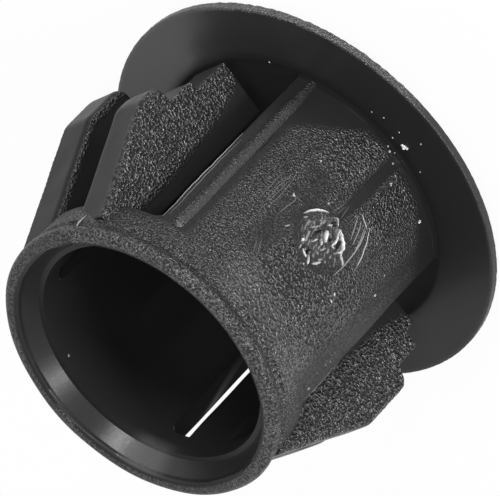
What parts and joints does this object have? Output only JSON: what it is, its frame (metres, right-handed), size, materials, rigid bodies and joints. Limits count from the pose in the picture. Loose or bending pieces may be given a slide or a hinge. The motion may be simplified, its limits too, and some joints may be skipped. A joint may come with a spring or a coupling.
{
  "type": "hole plug",
  "caption": "Round snap-in plastic hole plug: a thin flat head, an open tube with stepped spring legs and a rolled nose ring.",
  "frame": {"origin": "centre of the closed head's outer face, which is the lowest face of the part", "axes": "+Z along the tube towards the open nose, +X to the panel with the gate scar, the spring legs on +Y and -Y"},
  "size_m": [0.0166, 0.0166, 0.0118],
  "materials": {
    "black_plastic": "moulded black nylon, satin, grained on the tube, the ring and the sides of the legs"
  },
  "bodies": {
    "root": {"hole_plug": "black_plastic"}
  },
  "joints": []
}
